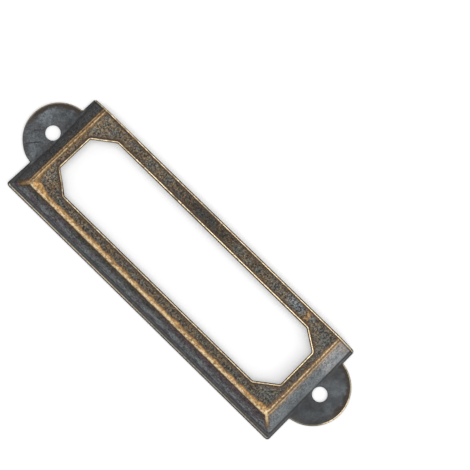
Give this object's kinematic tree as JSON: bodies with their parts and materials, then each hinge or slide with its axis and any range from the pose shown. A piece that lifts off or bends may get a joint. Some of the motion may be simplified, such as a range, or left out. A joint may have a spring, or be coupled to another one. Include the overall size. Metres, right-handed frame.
{
  "type": "drawer label holder",
  "caption": "Pressed sheet-metal label holder with round screw ears, three sloping sides, an eight-cornered window and one open long side for the card.",
  "frame": {"origin": "midway between the centres of the two screw holes, on the back plane that lies against the drawer front", "axes": "+X along the holder from one screw ear to the other, +Y towards the open long side where the card slides in, +Z out of the drawer front towards the viewer"},
  "size_m": [0.083, 0.024, 0.003],
  "materials": {
    "antique_brass": "dark antique patina with a slate cast, rubbed through to bare brass along the ridges and the cut edges"
  },
  "bodies": {
    "root": {"label_holder": "antique_brass"}
  },
  "joints": []
}
